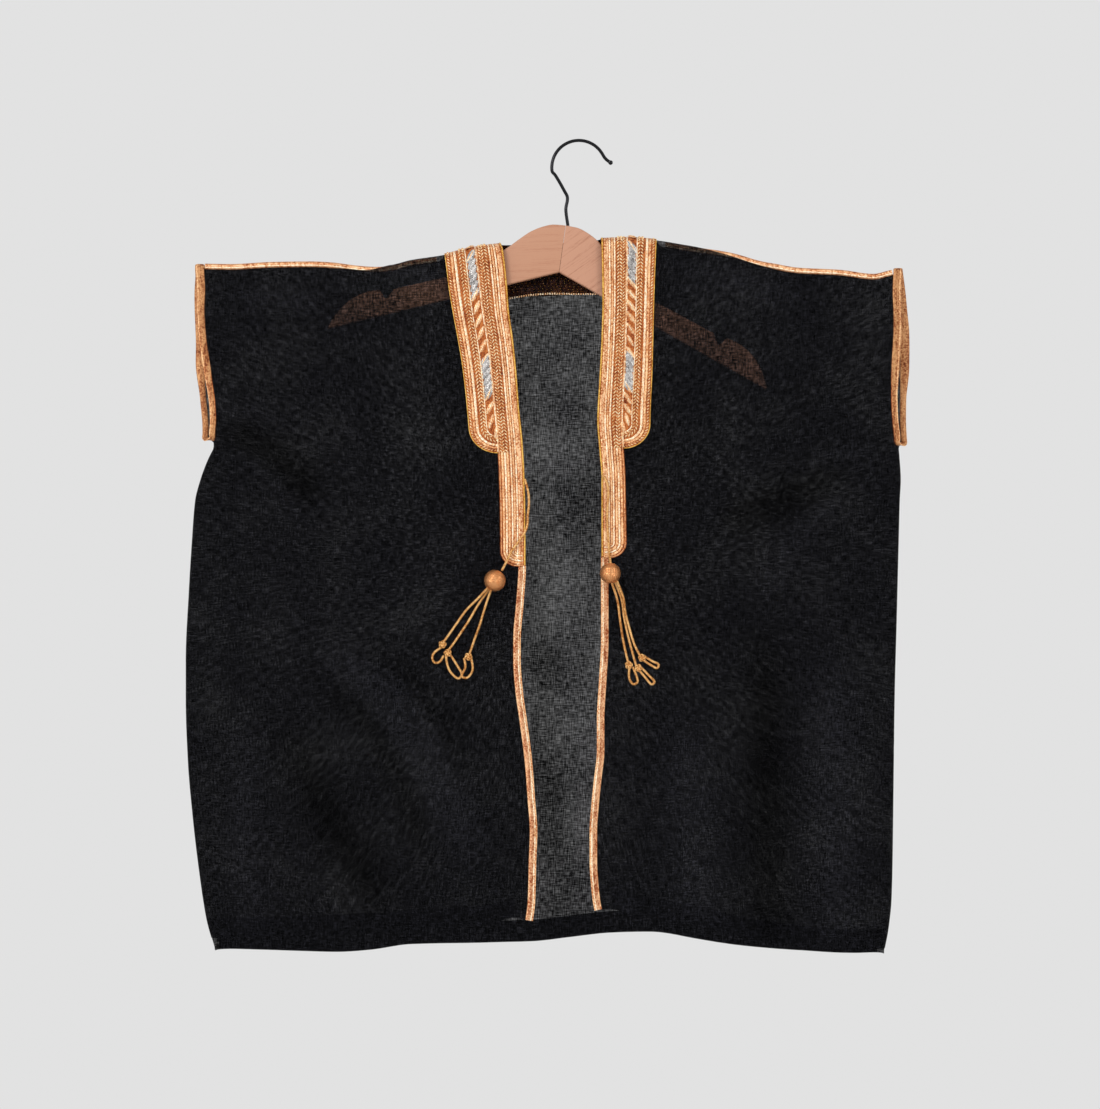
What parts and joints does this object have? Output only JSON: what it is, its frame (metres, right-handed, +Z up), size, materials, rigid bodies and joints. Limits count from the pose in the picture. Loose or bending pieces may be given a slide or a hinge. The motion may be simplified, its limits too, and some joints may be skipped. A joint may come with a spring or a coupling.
{
  "type": "bisht cloak on a hanger",
  "caption": "Open-fronted sheer black bisht cloak with braided gold neck bands, piped edges and tasselled tie cords, hanging flat on a bent beech hanger with a steel hook",
  "frame": {"origin": "The inner top of the hanger's hook, where a rail or a peg carries it", "axes": "+Z is up, along the hook's pull. The cloak's open front faces -Y and its back +Y, the thin way through the hanging cloak. +X runs along the sleeves, to the right for someone who faces the front."},
  "size_m": [0.7033, 0.058, 0.788],
  "materials": {
    "black_voile": "sheer black plain-weave cloth, matt, that lets a little light through one layer and almost none through two",
    "gold_braid": "satin gold thread laid in ridges, chain braids and slanted leaf stitches, with silver patches",
    "gold_piping": "gold thread wound and stitched over a flat core",
    "gold_cord": "twisted gold cord, with satin thread wound round the balls",
    "beech": "bent beech with a thin satin varnish",
    "hook_wire": "dark polished steel wire"
  },
  "bodies": {
    "root": {"back_panel": "black_voile", "front_panel_left": "black_voile", "front_panel_right": "black_voile", "back_hem": "black_voile", "front_hem_left": "black_voile", "front_hem_right": "black_voile", "back_neck_band": "gold_braid", "wide_band_left": "gold_braid", "wide_band_right": "gold_braid", "narrow_band_left": "gold_braid", "narrow_band_right": "gold_braid", "front_piping_left": "gold_piping", "front_piping_right": "gold_piping", "shoulder_piping_left": "gold_piping", "shoulder_piping_right": "gold_piping", "cuff_binding_left": "gold_piping", "cuff_binding_right": "gold_piping", "hanger_arm_left": "beech", "hanger_arm_right": "beech", "hanger_hook": "hook_wire", "left_tie_cord": "gold_cord", "left_tie_ball": "gold_cord", "left_tail_a": "gold_cord", "left_tail_b": "gold_cord", "left_tail_c": "gold_cord", "left_knot_a": "gold_cord", "left_knot_b": "gold_cord", "left_knot_c": "gold_cord", "left_loop_a": "gold_cord", "left_loop_b": "gold_cord", "left_loop_c": "gold_cord", "right_tie_cord": "gold_cord", "right_tie_ball": "gold_cord", "right_tail_a": "gold_cord", "right_tail_b": "gold_cord", "right_tail_c": "gold_cord", "right_knot_a": "gold_cord", "right_knot_b": "gold_cord", "right_knot_c": "gold_cord", "right_loop_a": "gold_cord", "right_loop_b": "gold_cord", "right_loop_c": "gold_cord"}
  },
  "joints": []
}
